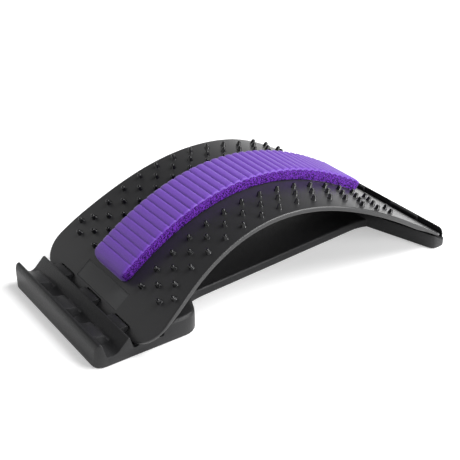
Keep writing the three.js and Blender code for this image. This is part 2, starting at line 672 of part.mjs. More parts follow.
// The base: two bars joined by a low spine, one shell open below.
function makeBase() {
  const reach = HALF_LENGTH + CUT_OVERRUN;
  const trim = solidOf(block([-reach, -reach, PAD_PROUD], [reach, reach, CROWN_HEIGHT]));
  const leftPlan = uprightSolid(leftBarPlan(0), -CUT_OVERRUN, CROWN_HEIGHT);
  const rightPlan = uprightSolid(rightBarPlan(0), -CUT_OVERRUN, CROWN_HEIGHT);
  const leftSide = LEFT_BAR_HALF_WIDTH + CUT_OVERRUN;
  let left = acrossSolid(leftBarSection(), -leftSide, leftSide);
  [-1, 0, 1].forEach((level) => {
    const foot = levelFoot(level);
    const onLip = level === -1;
    const full = level === 1 ? GROOVE_FLOOR_WIDTH + LAST_GROOVE_LEAN : LEVEL_PITCH - STEEP_LEAN - CREST_FLAT;
    const depth = onLip ? LIP_SHELF_DEPTH : full;
    LEFT_SHELVES.forEach(([from, to]) => {
      const low = [foot - STEEP_LEAN, from, PAD_PROUD];
      left = left.add(solidOf(block(low, [foot + depth, to, onLip ? LIP_SHELF_HEIGHT : SHELF_HEIGHT])));
    });
  });
  const rightSide = RIGHT_BAR_HALF_WIDTH + CUT_OVERRUN;
  let right = acrossSolid(rightBarSection(), -rightSide, rightSide);
  RIGHT_SHELVES.forEach(([from, to]) => {
    right = right.add(acrossSolid(rightShelfSection(), from, to));
  });
  const spine = uprightSolid(spinePlan(0), -CUT_OVERRUN * 2, SPINE_HEIGHT, BASE_EDGE_ROUND).intersect(trim);
  let base = left.intersect(leftPlan).add(right.intersect(rightPlan)).add(spine);

  const grooveEnd = levelFoot(1) + levelFloorWidth(1);
  const leftInner = -HALF_LENGTH + LEFT_BAR_ROOT_LENGTH;
  const rightInner = HALF_LENGTH - RIGHT_BAR_ROOT_LENGTH;
  const hollows = [
    cells(-HALF_LENGTH + SHELL_WALL, grooveEnd, LEFT_BAR_HALF_WIDTH - SHELL_WALL,
      LEFT_FLOOR - CELL_FLOOR_SKIN, leftBarPlan(SHELL_WALL)),
    cells(grooveEnd + LAST_GROOVE_LEAN + RIB_THICKNESS, leftInner, LEFT_BAR_HALF_WIDTH - SHELL_WALL,
      BAR_TOP_HEIGHT - CELL_FLOOR_SKIN, leftBarPlan(SHELL_WALL + LAST_GROOVE_LEAN)),
    cells(leftInner + RIB_THICKNESS, rightInner - RIB_THICKNESS, SPINE_LEFT_HALF_WIDTH - SHELL_WALL,
      SPINE_HEIGHT - CELL_FLOOR_SKIN, spinePlan(SHELL_WALL)),
    cells(rightInner, HALF_LENGTH - SHELL_WALL, RIGHT_BAR_HALF_WIDTH - SHELL_WALL,
      RIGHT_FLOOR - CELL_FLOOR_SKIN, rightBarPlan(SHELL_WALL)),
  ];
  hollows.forEach((hollow) => {
    base = base.subtract(hollow);
  });
  PAD_PLACES.forEach((place) => {
    const boss = uprightSolid(padShape(place, PAD_RIM), PAD_PROUD, PAD_BOSS_TOP);
    base = base.add(boss);
  });
  PAD_PLACES.forEach((place) => {
    const recess = uprightSolid(padShape(place, SEAT_GAP), -CUT_OVERRUN, PAD_PROUD + PAD_RECESS);
    base = base.subtract(recess);
  });
  return geometryOf(base);
}

// A foot pad, proud of the base by a little so that only the pads touch the floor.
function makePad(place) {
  const settings = { depth: PAD_PROUD + PAD_RECESS - SEAT_GAP, bevelEnabled: false, curveSegments: CURVE_STEPS };
  const geometry = new THREE.ExtrudeGeometry(padShape(place, 0), settings);
  return geometry;
}

const group = new THREE.Group();

function addPiece(name, geometry, material) {
  const mesh = new THREE.Mesh(geometry, material);
  mesh.name = name;
  group.add(mesh);
}

addPiece('base_frame', makeBase(), MATERIALS.base);
addPiece('arch_plate', makePlate(), MATERIALS.plate);
addPiece('foam_adhesive', makeFilm(), MATERIALS.film);
addPiece('foam_strip', makeFoam(), MATERIALS.foam);
PAD_PLACES.forEach((place, i) => addPiece(`foot_pad_${i + 1}`, makePad(place), MATERIALS.pad));

export default group;
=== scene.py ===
import math

import bmesh
import bpy
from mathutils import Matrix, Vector


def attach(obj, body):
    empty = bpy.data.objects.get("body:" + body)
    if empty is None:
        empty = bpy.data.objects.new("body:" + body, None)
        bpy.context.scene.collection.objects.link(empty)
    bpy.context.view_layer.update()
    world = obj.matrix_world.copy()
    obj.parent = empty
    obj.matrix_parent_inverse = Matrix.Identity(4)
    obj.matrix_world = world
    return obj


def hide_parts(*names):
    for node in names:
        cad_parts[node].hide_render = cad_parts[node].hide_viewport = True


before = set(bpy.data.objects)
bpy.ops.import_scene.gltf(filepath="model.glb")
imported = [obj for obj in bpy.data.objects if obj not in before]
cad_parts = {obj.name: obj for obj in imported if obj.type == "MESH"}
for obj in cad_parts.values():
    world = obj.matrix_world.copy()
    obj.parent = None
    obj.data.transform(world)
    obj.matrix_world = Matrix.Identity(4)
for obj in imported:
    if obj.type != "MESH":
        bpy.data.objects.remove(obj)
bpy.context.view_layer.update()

# The view. The photo was taken from beyond the near left end and from above, with a long lens.
# The camera was fitted to the knobs' even grid and stands level.
LOOKS_ALONG = Vector((0.50093, 0.71258, -0.49122))
bpy.ops.object.select_all(action="DESELECT")
bpy.ops.object.camera_add(
    location=(-0.46802, -0.66170, 0.49107),
    rotation=LOOKS_ALONG.to_track_quat("-Z", "Y").to_euler(),
)
camera = bpy.context.object
camera.name = "photo_camera"
camera.data.sensor_width = 36
camera.data.lens = 74.5
bpy.context.scene.camera = camera
bpy.context.scene.view_settings.view_transform = "Standard"


# The base: one black plastic moulding, open below and stiffened by ribs. Its left bar has a tall lip and three
# grooves with shelves in them, its right bar one slot behind a thin lip, and a low spine joins the two bars.
# Sizes are in millimetres, X runs from the left bar to the right one, and FEET are the grooves' lowest lines.
mm = 0.001
HALF_LENGTH = 195.983
LEFT_ROOT = -77.983
RIGHT_ROOT = 152.983
LEFT_SIDE = 82
RIGHT_SIDE = 101
SPINE_LEFT_SIDE = 39
SPINE_RIGHT_SIDE = 24
PROUD = 0.8
LIP_TOP = 24
CREST = 21
BAR_TOP = 20.5
RIGHT_TOP = 16
SPINE_TOP = 9.8
SHELF_TOP = 14.9
SHELF_FOOT = 3
FEET = [-185.283, -159.783, -134.283]
LEFT_FLOOR = 9.245
RIGHT_FLOOR = 7.405
RIGHT_FOOT = 194.183
LEFT_SHELVES = [(-64, -39), (-12.5, 12.5), (39, 64)]
RIGHT_SHELVES = [(-60.8, -20.8), (20.8, 60.8)]


def only(piece):
    """Leaves this piece alone selected and active."""
    bpy.ops.object.select_all(action="DESELECT")
    piece.select_set(True)
    bpy.context.view_layer.objects.active = piece


def rounded(points, steps=5):
    """An outline of (a, b, reach) corners, each turned by a curve that starts and ends at its reach from it."""
    outline = []
    for i, (a, b, reach) in enumerate(points):
        corner = Vector((a, b))
        to_last = Vector(points[i - 1][:2]) - corner
        to_next = Vector(points[(i + 1) % len(points)][:2]) - corner
        reach = min(reach, to_last.length / 2, to_next.length / 2)
        if reach <= 0:
            outline.append((a, b))
            continue
        start = corner + to_last.normalized() * reach
        end = corner + to_next.normalized() * reach
        for step in range(steps + 1):
            t = step / steps
            place = start * (1 - t) ** 2 + corner * 2 * t * (1 - t) + end * t**2
            outline.append((place.x, place.y))
    return outline


def prism(name, outline, low, high, across=False):
    """A solid from an outline in plan, drawn up from low to high, or from a side section, drawn across."""
    bpy.ops.object.select_all(action="DESELECT")
    bpy.ops.mesh.primitive_circle_add(vertices=len(outline), fill_type="NGON")
    piece = bpy.context.object
    piece.name = name
    for point, (a, b) in zip(piece.data.vertices, outline):
        point.co = Vector((a, low, b) if across else (a, b, low)) * mm
    reach = (high - low) * mm
    bpy.ops.object.mode_set(mode="EDIT")
    bpy.ops.mesh.select_all(action="SELECT")
    way = (0, reach, 0) if across else (0, 0, reach)
    bpy.ops.mesh.extrude_region_move(TRANSFORM_OT_translate={"value": way})
    bpy.ops.mesh.select_all(action="SELECT")
    bpy.ops.mesh.normals_make_consistent(inside=False)
    bpy.ops.object.mode_set(mode="OBJECT")
    return piece


def pick(piece, kind, wanted):
    """In edit mode, selects only the points, edges or faces that pass a test."""
    bpy.ops.mesh.select_mode(type=kind)
    bpy.ops.mesh.select_all(action="DESELECT")
    shape = bmesh.from_edit_mesh(piece.data)
    for item in {"VERT": shape.verts, "EDGE": shape.edges, "FACE": shape.faces}[kind]:
        if wanted(item):
            item.select_set(True)
    shape.select_flush_mode()
    bmesh.update_edit_mesh(piece.data)


def work(piece, operation, tool):
    """Joins the tool to the piece, cuts it away or keeps what they share, and uses the tool up."""
    only(piece)
    step = piece.modifiers.new("work", "BOOLEAN")
    step.operation = operation
    step.solver = "EXACT"
    step.object = tool
    bpy.ops.object.modifier_apply(modifier=step.name)
    bpy.data.objects.remove(tool)


def join(pieces, name):
    """Makes one object of several."""
    bpy.ops.object.select_all(action="DESELECT")
    for piece in pieces:
        piece.select_set(True)
    bpy.context.view_layer.objects.active = pieces[0]
    bpy.ops.object.join()
    pieces[0].name = name
    return pieces[0]


def break_edges(piece, width, segments, angle):
    """Cleans flat faces of their old cuts, then rounds every edge sharper than the angle."""
    only(piece)
    bpy.ops.object.mode_set(mode="EDIT")
    bpy.ops.mesh.select_all(action="SELECT")
    bpy.ops.mesh.remove_doubles(threshold=0.01 * mm)
    bpy.ops.mesh.dissolve_limited(angle_limit=math.radians(0.4))
    bpy.ops.object.mode_set(mode="OBJECT")
    round_off = piece.modifiers.new("round off", "BEVEL")
    round_off.width = width * mm
    round_off.segments = segments
    round_off.limit_method = "ANGLE"
    round_off.angle_limit = math.radians(angle)
    round_off.use_clamp_overlap = False
    round_off.miter_outer = "MITER_ARC"
    bpy.ops.object.modifier_apply(modifier=round_off.name)


def round_rim(piece, height, start, width):
    """Rounds the edges where walls meet a flat top at this height, from a start along the base onwards."""

    def on_rim(edge):
        level = all(abs(point.co.z - height * mm) < 0.02 * mm for point in edge.verts)
        wall = any(abs(face.normal.z) < 0.1 for face in edge.link_faces)
        return level and wall and sum(point.co.x for point in edge.verts) / 2 > start * mm

    only(piece)
    bpy.ops.object.mode_set(mode="EDIT")
    pick(piece, "EDGE", on_rim)
    bpy.ops.mesh.bevel(offset=width * mm, segments=5, affect="EDGES")
    bpy.ops.object.mode_set(mode="OBJECT")


def both_sides(points):
    """A plan outline from its far half, given as (x, y, reach) corners, and the mirror of it."""
    return points + [(x, -y, reach) for x, y, reach in reversed(points)]


def left_plan(inset):
    """The left bar seen from above, drawn in by the inset."""
    far = [
        (-HALF_LENGTH + inset, LEFT_SIDE - inset, 10 - inset),
        (-HALF_LENGTH + 100 - inset, LEFT_SIDE - inset, 12 - inset),
        (-HALF_LENGTH + 118 - inset, SPINE_LEFT_SIDE, 0),
    ]
    return rounded(both_sides(far))


def right_plan(inset):
    """The right bar seen from above, drawn in by the inset."""
    far = [
        (HALF_LENGTH - 43 + inset, SPINE_RIGHT_SIDE, 0),
        (HALF_LENGTH - 19 + inset, RIGHT_SIDE - inset, 5),
        (HALF_LENGTH - inset, RIGHT_SIDE - inset, 9 - inset),
    ]
    return rounded(both_sides(far))


def spine_plan(inset):
    """The spine seen from above, drawn in by the inset. It spreads where it runs into the two bars."""
    left = -HALF_LENGTH + 118
    right = HALF_LENGTH - 43
    spread = 9
    far = [
        (left - 18, SPINE_LEFT_SIDE + spread - inset, 0),
        (left + 9, SPINE_LEFT_SIDE - inset, 9),
        (right - 9, SPINE_RIGHT_SIDE - inset, 9),
        (right + 18, SPINE_RIGHT_SIDE + spread - inset, 0),
    ]
    return rounded(both_sides(far))


lip_and_grooves = [
    (-HALF_LENGTH, PROUD, 0),
    (-HALF_LENGTH + 1.3, 19.8, 2.6),
    (-HALF_LENGTH + 4, LIP_TOP, 1.4),
    (-189.2, LIP_TOP, 1.2),
    (-188.283, CREST, 0),
]
for foot in FEET:
    if foot > FEET[0]:
        lip_and_grooves += [(foot - 4.6, CREST, 0), (foot - 3, CREST, 0)]
    floor_width = 9.3 if foot == FEET[0] else 4
    lip_and_grooves += [(foot, LEFT_FLOOR, 1.8), (foot + floor_width, LEFT_FLOOR, floor_width * 0.8)]
lip_and_grooves += [(-126.783, BAR_TOP, 0), (LEFT_ROOT, BAR_TOP, 0), (LEFT_ROOT, PROUD, 0)]
base = prism("base_moulding", rounded(lip_and_grooves), -LEFT_SIDE - 3, LEFT_SIDE + 3, across=True)

# The tops of the shelves in each groove, measured from the groove's foot.
shelf_tops = [
    [(13.5, 12.8, 0), (10.4, 12.8, 1), (8.4, 18.9, 3), (1, 19.9, 4), (-4.6, 23.2, 0)],
    [(17.9, SHELF_TOP, 0), (6, SHELF_TOP, 0), (5.2, 19.4, 1.8), (-2.2, 19.6, 0)],
    [(7, SHELF_TOP, 0), (-2.2, SHELF_TOP, 0)],
]
for foot, top in zip(FEET, shelf_tops):
    section = [(foot + top[-1][0], SHELF_FOOT, 0), (foot + top[0][0], SHELF_FOOT, 0)]
    section += [(foot + a, b, reach) for a, b, reach in top]
    for low, high in LEFT_SHELVES:
        work(base, "UNION", prism("shelf", rounded(section), low, high, across=True))
left_limit_top = 24.1
left_limit = prism("left_plan", left_plan(0), -3, left_limit_top)
round_rim(left_limit, left_limit_top, -HALF_LENGTH - 1, 2.4)
work(base, "INTERSECT", left_limit)
round_rim(base, BAR_TOP, -119, 4)

# The right bar: its slot, the thin lip with its two round end corners, and the two stretches of thick lip.
slot_section = [
    (RIGHT_ROOT, PROUD, 0),
    (RIGHT_ROOT, RIGHT_TOP, 3),
    (176.983, RIGHT_TOP, 2),
    (RIGHT_FOOT - 4, RIGHT_FLOOR, 2),
    (HALF_LENGTH, RIGHT_FLOOR, 0),
    (HALF_LENGTH, PROUD, 0),
]
right_bar = prism("right_bar", rounded(slot_section, steps=4), -RIGHT_SIDE - 3, RIGHT_SIDE + 3, across=True)
lip_end = 95.5
lip_section = [
    (RIGHT_FOOT, SHELF_FOOT),
    (RIGHT_FOOT + 0.3, RIGHT_TOP),
    (HALF_LENGTH, RIGHT_TOP),
    (HALF_LENGTH, SHELF_FOOT),
]
thin_lip = prism("thin_lip", lip_section, -lip_end, lip_end, across=True)
bpy.ops.object.mode_set(mode="EDIT")
pick(thin_lip, "EDGE", lambda edge: all(p.co.z > 15 * mm for p in edge.verts) and edge.calc_length() < 3 * mm)
bpy.ops.mesh.bevel(offset=6 * mm, segments=6, affect="EDGES")
bpy.ops.object.mode_set(mode="OBJECT")
work(right_bar, "UNION", thin_lip)
lip_inner, lip_outer = 191.783, 195.9
thick_section = [
    (lip_inner, SHELF_FOOT, 0),
    (lip_inner, RIGHT_TOP, 1.2),
    (lip_outer, RIGHT_TOP, 0.9),
    (lip_outer, SHELF_FOOT, 0),
]
for low, high in RIGHT_SHELVES:
    work(right_bar, "UNION", prism("thick_lip", rounded(thick_section, steps=4), low, high, across=True))
work(right_bar, "INTERSECT", prism("right_plan", right_plan(0), -3, 30))
work(base, "UNION", right_bar)

spine = prism("spine", spine_plan(0), PROUD, SPINE_TOP)
round_rim(spine, SPINE_TOP, -100, 2.4)
work(base, "UNION", spine)
break_edges(base, width=0.5, segments=2, angle=38)

# The underside: four fields of cells with ribs between them, each given by its start and end along the base,
# its side, its ceiling and the plan that it stays inside.
rib, pitch, wall = 2, 33, 2.6
undersides = [
    (-HALF_LENGTH + wall, -130.283, LEFT_SIDE - wall, LEFT_FLOOR - wall, left_plan(wall)),
    (-124.783, LEFT_ROOT, LEFT_SIDE - wall, BAR_TOP - wall, left_plan(wall + 3.5)),
    (-75.983, 150.983, SPINE_LEFT_SIDE - wall, SPINE_TOP - wall, spine_plan(wall)),
    (RIGHT_ROOT, HALF_LENGTH - wall, RIGHT_SIDE - wall, RIGHT_FLOOR - wall, right_plan(wall)),
]
for start, end, side, ceiling, plan in undersides:
    rows = max(1, math.ceil((end - start) / pitch))
    lines = max(1, math.ceil(side * 2 / pitch))
    row_pitch = (end - start + rib) / rows
    line_pitch = (side * 2 + rib) / lines
    cells = []
    for row in range(rows):
        for line in range(lines):
            low_x = start + row * row_pitch
            low_y = -side + line * line_pitch
            high_x = low_x + row_pitch - rib
            high_y = low_y + line_pitch - rib
            corners = [(low_x, low_y), (high_x, low_y), (high_x, high_y), (low_x, high_y)]
            outline = rounded([(x, y, 1.5) for x, y in corners], steps=3)
            cells.append(prism("cell", outline, -3, ceiling))
    cells = join(cells, "cells")
    work(cells, "INTERSECT", prism("cell_limit", plan, -6, ceiling + 3))
    work(base, "DIFFERENCE", cells)

# The bosses and recesses for the foot pads, by each pad's number.
PADS = {1: (-147, -72.7), 4: (-147, 72.7), 2: (-147, -9.3), 5: (-147, 9.3), 3: (184.3, -82.4), 6: (184.3, 82.4)}


def pad_outline(place, grown):
    """A pad's outline with rounded corners: long along the base at its left end and across it at its right."""
    half_x, half_y = (4.5 + grown, 11 + grown) if place[0] > 0 else (11 + grown, 4.5 + grown)
    signs = [(-1, -1), (1, -1), (1, 1), (-1, 1)]
    return rounded([(place[0] + a * half_x, place[1] + b * half_y, 3) for a, b in signs])


for place in PADS.values():
    work(base, "UNION", prism("boss", pad_outline(place, 2.2), PROUD, 7.1))
for place in PADS.values():
    work(base, "DIFFERENCE", prism("recess", pad_outline(place, 0.3), -3, 2))
only(base)
bpy.ops.object.shade_smooth_by_angle(angle=math.radians(30))


def moulded(name, colour, roughness, grain, depth, shine=0.5):
    """Moulded plastic or rubber: one colour, with a fine grain of its mould all over."""
    material = bpy.data.materials.new(name)
    material.use_nodes = True
    nodes = material.node_tree.nodes
    links = material.node_tree.links
    shader = nodes["Principled BSDF"]
    shader.inputs["Base Color"].default_value = (*colour, 1)
    shader.inputs["Roughness"].default_value = roughness
    shader.inputs["Specular IOR Level"].default_value = shine
    place = nodes.new("ShaderNodeTexCoord")
    grains = nodes.new("ShaderNodeTexNoise")
    grains.inputs["Scale"].default_value = 1 / (grain * mm)
    grains.inputs["Detail"].default_value = 3
    links.new(place.outputs["Object"], grains.inputs["Vector"])
    relief = nodes.new("ShaderNodeBump")
    relief.inputs["Strength"].default_value = 1
    relief.inputs["Distance"].default_value = depth * mm
    links.new(grains.outputs["Fac"], relief.inputs["Height"])
    links.new(relief.outputs["Normal"], shader.inputs["Normal"])
    return material


base.data.materials.clear()
base.data.materials.append(moulded("black satin plastic", (0.014, 0.014, 0.015), 0.42, 1.3, 0.2, 0.3))
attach(base, "base")
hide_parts("base_frame")


# The foot pads: six slabs of dull black rubber pressed into recesses under the two bars.
# Only their faces stand proud, so that the stretcher grips the floor.
first_pad = prism("rubber_pad", pad_outline((0, 0), 0), 0, 1.7)
break_edges(first_pad, width=0.45, segments=3, angle=40)
bpy.ops.object.shade_smooth_by_angle(angle=math.radians(30))
first_pad.data.materials.clear()
first_pad.data.materials.append(moulded("dull black rubber", (0.016, 0.016, 0.016), 0.8, 0.6, 0.04))
for number, place in sorted(PADS.items()):
    pad = first_pad.copy()
    pad.data = first_pad.data.copy()
    pad.name = f"rubber_pad_{number}"
    bpy.context.collection.objects.link(pad)
    pad.location = Vector((*place, 0)) * mm
    if place[0] > 0:
        pad.rotation_euler.z = math.radians(90)
    only(pad)
    bpy.ops.object.transform_apply(location=True, rotation=True, scale=False)
    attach(pad, "base")
    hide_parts(f"foot_pad_{number}")
bpy.data.objects.remove(first_pad)


# The arch plate: one springy black moulding, modelled flat and laid on the arch that it springs to. It has a
# deeper rim along its long edges, tabs at both ends, a shallow bare recess and 96 cone-shaped knobs.
LEFT_END = -186.5
RIGHT_END = 208.6
LAY_FROM = -200
LAY_TO = 222
CROWN_X = 4.516
CROWN_HEIGHT = 90
LEFT_SLOPE = math.radians(39.8073)
RIGHT_SLOPE = math.radians(31.9775)
LEFT_BEND_REACH = 186.5
RIGHT_BEND_REACH = 208.6 * 0.79
LEFT_CORNER = 30
RIGHT_CORNER = 14
LEFT_NOTCH = 9
RIGHT_NOTCH = 5.2
PLAY = 0.3


def slope_at(along):
    """How steeply the arch falls to the right at a distance along it from its crown."""
    reach = LEFT_BEND_REACH if along < 0 else RIGHT_BEND_REACH
    turned = math.sin(min(1, abs(along) / reach) * math.pi / 2)
    return -LEFT_SLOPE * turned if along < 0 else RIGHT_SLOPE * turned


def arch_places():
    """Places of the arch every millimetre from where it is laid, summed outwards from its crown."""
    places = {0: (CROWN_X, CROWN_HEIGHT)}
    for sign, last in ((-1, LAY_FROM), (1, LAY_TO)):
        x, z = CROWN_X, CROWN_HEIGHT
        for step in range(abs(last)):
            for part in range(10):
                slope = slope_at(sign * (step + (part + 0.5) / 10))
                x += sign * math.cos(slope) / 10
                z -= sign * math.sin(slope) / 10
            places[sign * (step + 1)] = (x, z)
    return [places[along] for along in range(LAY_FROM, LAY_TO + 1)]


bpy.ops.object.select_all(action="DESELECT")
bpy.ops.curve.primitive_nurbs_path_add()
arch_line = bpy.context.object
arch_line.name = "arch_line"
arch_line.data.splines.clear()
line = arch_line.data.splines.new("POLY")
laid = arch_places()
line.points.add(len(laid) - 1)
for point, (x, z) in zip(line.points, laid):
    point.co = (x * mm, 0, z * mm, 1)
arch_line.data.twist_mode = "Z_UP"


def lay_on_arch(piece):
    """Bends a piece that was modelled flat, from its laying point along X, onto the arch."""
    only(piece)
    bend = piece.modifiers.new("lay", "CURVE")
    bend.object = arch_line
    bend.deform_axis = "POS_X"
    bpy.ops.object.modifier_apply(modifier=bend.name)


def flare(along):
    """Half the plate's width: a waist left of the middle that flares out to both ends."""
    share = abs(along + 35) / 120
    if share <= 0.75:
        return 84 + 16 * share**2
    past = min(share - 0.75, 0.58333)
    return 84 + 16 * (0.5625 + 0.75 * (past * 2 - past**2 / 0.58333))


def half_width(along):
    """The same with the round corners of the two ends."""
    radius = LEFT_CORNER if along < 0 else RIGHT_CORNER
    inset = max(0, radius - min(along - LEFT_END, RIGHT_END - along))
    return flare(along) - radius + math.sqrt(max(0, radius**2 - inset**2))


straight = RIGHT_END - LEFT_END - (LEFT_CORNER + RIGHT_CORNER)
near_side = [LEFT_END + LEFT_CORNER * (1 - math.cos(math.radians(angle))) for angle in range(10, 90, 10)]
near_side += [LEFT_END + LEFT_CORNER + step * straight / 44 for step in range(45)]
near_side += [RIGHT_END - RIGHT_CORNER * (1 - math.cos(math.radians(angle))) for angle in range(80, 0, -10)]
corners = [(along, -half_width(along), 0) for along in near_side]
corners.append((RIGHT_END, -half_width(RIGHT_END), 0))
for low, high in RIGHT_SHELVES:
    corners += [(RIGHT_END, low - PLAY, 4), (RIGHT_END - RIGHT_NOTCH, low - PLAY, 1.2)]
    corners += [(RIGHT_END - RIGHT_NOTCH, high + PLAY, 1.2), (RIGHT_END, high + PLAY, 4)]
corners.append((RIGHT_END, half_width(RIGHT_END), 0))
corners += [(along, half_width(along), 0) for along in reversed(near_side)]
corners.append((LEFT_END, half_width(LEFT_END), 0))
for low, high in reversed(LEFT_SHELVES):
    corners += [(LEFT_END, high + PLAY, 5.5), (LEFT_END + LEFT_NOTCH, high + PLAY, 1.6)]
    corners += [(LEFT_END + LEFT_NOTCH, low - PLAY, 1.6), (LEFT_END, low - PLAY, 5.5)]
corners.append((LEFT_END, -half_width(LEFT_END), 0))
plate = prism("knobbed_plate", [(a - LAY_FROM, b) for a, b in rounded(corners, steps=6)], -3, 0)

# The deeper rim: the underside's border is pulled down, and fades out towards both ends.
only(plate)
bpy.ops.object.mode_set(mode="EDIT")
pick(plate, "FACE", lambda face: face.normal.z > 0.9)
bpy.ops.mesh.inset(thickness=1.8 * mm, depth=0)
pick(plate, "FACE", lambda face: face.normal.z < -0.9)
bpy.ops.mesh.inset(thickness=1.35 * mm, depth=0)
bpy.ops.mesh.inset(thickness=1.35 * mm, depth=0)
field = {point for face in bmesh.from_edit_mesh(plate.data).faces if face.select for point in face.verts}
for point in bmesh.from_edit_mesh(plate.data).verts:
    if point.co.z < -2.9 * mm and point not in field:
        along = point.co.x / mm + LAY_FROM
        share = min(1, max(0, (min(along - LEFT_END, RIGHT_END - along) - 24) / 24))
        point.co.z -= 1.6 * mm * share**2 * (3 - 2 * share)
bmesh.update_edit_mesh(plate.data)
bpy.ops.object.mode_set(mode="OBJECT")
rim_round = plate.modifiers.new("rim round", "BEVEL")
rim_round.width = 0.95 * mm
rim_round.segments = 3
rim_round.limit_method = "ANGLE"
rim_round.angle_limit = math.radians(60)
rim_round.use_clamp_overlap = False
bpy.ops.object.modifier_apply(modifier=rim_round.name)

# The recess, on a plate that is cut across every few millimetres so that it bends smoothly.
PANEL_FROM, PANEL_TO, PANEL_SIDE = -175.4, -157, 37
stations = [LEFT_END + 3 + step * 4 for step in range(98)]
stations = [along for along in stations if min(abs(along - PANEL_FROM), abs(along - PANEL_TO)) > 1.2]
stations += [PANEL_FROM, PANEL_TO]
bpy.ops.object.mode_set(mode="EDIT")
for along in sorted(stations):
    bpy.ops.mesh.select_all(action="SELECT")
    bpy.ops.mesh.bisect(plane_co=((along - LAY_FROM) * mm, 0, 0), plane_no=(1, 0, 0))
for side in (-PANEL_SIDE, PANEL_SIDE):
    bpy.ops.mesh.select_all(action="SELECT")
    bpy.ops.mesh.bisect(plane_co=(0, side * mm, 0), plane_no=(0, 1, 0))


def in_panel(face):
    """Whether a face lies on top and inside the recess's outline."""
    middle = face.calc_center_median() / mm
    inside = PANEL_FROM < middle.x + LAY_FROM < PANEL_TO and abs(middle.y) < PANEL_SIDE
    return inside and face.normal.z > 0.9


pick(plate, "FACE", in_panel)
bpy.ops.mesh.inset(thickness=0.35 * mm, depth=-0.6 * mm)
panel_faces = [face.index for face in bmesh.from_edit_mesh(plate.data).faces if face.select]
bpy.ops.object.mode_set(mode="OBJECT")
plate.data.materials.clear()
plate.data.materials.append(moulded("black plate plastic", (0.02, 0.02, 0.021), 0.34, 0.8, 0.035))
plate.data.materials.append(moulded("glossier knob plastic", (0.004, 0.004, 0.005), 0.2, 2, 0.01, 0.4))
plate.data.materials.append(moulded("smooth panel plastic", (0.042, 0.043, 0.044), 0.42, 2, 0.01))
for number in panel_faces:
    plate.data.polygons[number].material_index = 2

# The knobs: a cone with a soft foot and a domed tip, modelled once and copied. Each side of the foam has three
# staggered rows and four more knobs further out.
bpy.ops.object.select_all(action="DESELECT")
bpy.ops.mesh.primitive_cone_add(
    vertices=14, radius1=3 * mm, radius2=2.05 * mm, depth=3.4 * mm, location=(0, 0, 1.6 * mm)
)
knob = bpy.context.object
bpy.ops.object.transform_apply(location=True, rotation=False, scale=False)
bpy.ops.object.mode_set(mode="EDIT")
bpy.ops.mesh.select_all(action="SELECT")
bpy.ops.mesh.bisect(plane_co=(0, 0, 1 * mm), plane_no=(0, 0, 1))
pick(knob, "VERT", lambda point: abs(point.co.z - 1 * mm) < 0.01 * mm)
bpy.ops.transform.resize(value=(0.92, 0.92, 1))
pick(knob, "FACE", lambda face: face.normal.z > 0.9)
for rise, shrink in ((0.8, 0.82), (0.5, 0.7), (0.2, 0.45)):
    bpy.ops.mesh.extrude_region_move(TRANSFORM_OT_translate={"value": (0, 0, rise * mm)})
    bpy.ops.transform.resize(value=(shrink, shrink, 1))
bpy.ops.object.mode_set(mode="OBJECT")
bpy.ops.object.shade_smooth()
knob.data.materials.clear()
knob.data.materials.append(plate.data.materials[1])

KNOB_PITCH = 20
knob_places = []
for count in range(15):
    knob_places += [(-144.5 + count * KNOB_PITCH, 43), (-144.5 + count * KNOB_PITCH, 73)]
for count in range(14):
    knob_places.append((-134.5 + count * KNOB_PITCH, 58))
for along in (-134.5, 85.5, 105.5, 125.5):
    knob_places.append((along, flare(along) - 11))
knobs = []
for along, across in knob_places:
    for side in (-1, 1):
        copy = knob.copy()
        copy.data = knob.data.copy()
        bpy.context.collection.objects.link(copy)
        copy.location = Vector((along - LAY_FROM, across * side, 0)) * mm
        knobs.append(copy)
bpy.data.objects.remove(knob)
plate = join([plate] + knobs, "knobbed_plate")
bpy.ops.object.shade_smooth_by_angle(angle=math.radians(35))
lay_on_arch(plate)
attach(plate, "arch")
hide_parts("arch_plate")


# The adhesive: a thin film of contact cement between the foam and the plate, hidden by the foam.
# It keeps the solid's own shape.
cement = moulded("clear contact cement", (0.62, 0.6, 0.54), 0.4, 3, 0.02)
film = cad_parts["foam_adhesive"]
film.data.materials.clear()
film.data.materials.append(cement)


# The foam strip: purple closed-cell foam with rounded cross ribs, cut from a thicker ribbed sheet and glued
# along the plate. Its top keeps the sheet's smooth skin, and its cut sides show open cells.
FOAM_FROM = -152.5
FOAM_TO = 143.5
RIBS = 38
SAMPLES = 8
FOAM_SIDE = 26.5
FOAM_TOP = 12.6
FOAM_FOOT = 0.75
# The top's section across the strip: shares of half its width, and how far it drops there.
ACROSS = [(1, 1.5), (0.988, 0.75), (0.955, 0.22), (0.9, 0), (0.68, 0), (0.45, 0), (0.22, 0), (0, 0)]
ACROSS = ACROSS + [(-share, drop) for share, drop in reversed(ACROSS[:-1])]
rows = RIBS * SAMPLES


def round_end(to_end, radius):
    """How far a round end draws back at a distance from its tip."""
    return radius - math.sqrt(max(0, radius**2 - max(0, radius - to_end) ** 2))


